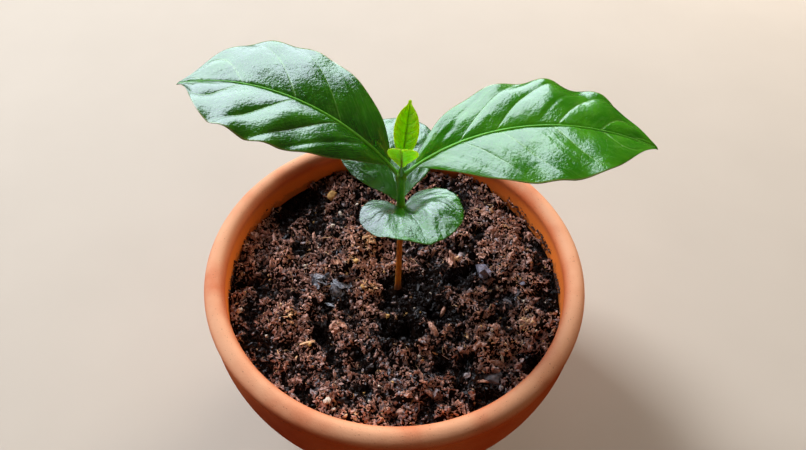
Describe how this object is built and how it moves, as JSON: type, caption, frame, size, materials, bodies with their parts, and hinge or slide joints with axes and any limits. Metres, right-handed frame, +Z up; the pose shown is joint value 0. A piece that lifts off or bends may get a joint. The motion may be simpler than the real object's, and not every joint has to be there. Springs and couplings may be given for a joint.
{
  "type": "potted coffee plant",
  "caption": "Coffee seedling with broad glossy leaves, round seed leaves and a budding tip, growing in soil in a round terracotta bowl pot.",
  "frame": {"origin": "centre of the pot's flat underside, on the pot's axis", "axes": "+Z up along the pot's axis, +X to the right and +Y away from the viewer in the pictured view, so that the leaf pair spreads roughly along X"},
  "size_m": [0.1598, 0.15, 0.1598],
  "materials": {
    "terracotta": "matte",
    "soil": "matte",
    "stem": "satin",
    "leaf": "gloss",
    "cotyledon": "gloss",
    "young_leaf": "satin"
  },
  "bodies": {
    "root": {"pot": "terracotta", "soil": "soil", "stem": "stem", "cotyledon_front": "cotyledon", "cotyledon_back": "cotyledon", "leaf_left": "leaf", "leaf_right": "leaf", "young_leaf_back": "young_leaf", "young_leaf_front": "young_leaf"}
  },
  "joints": []
}
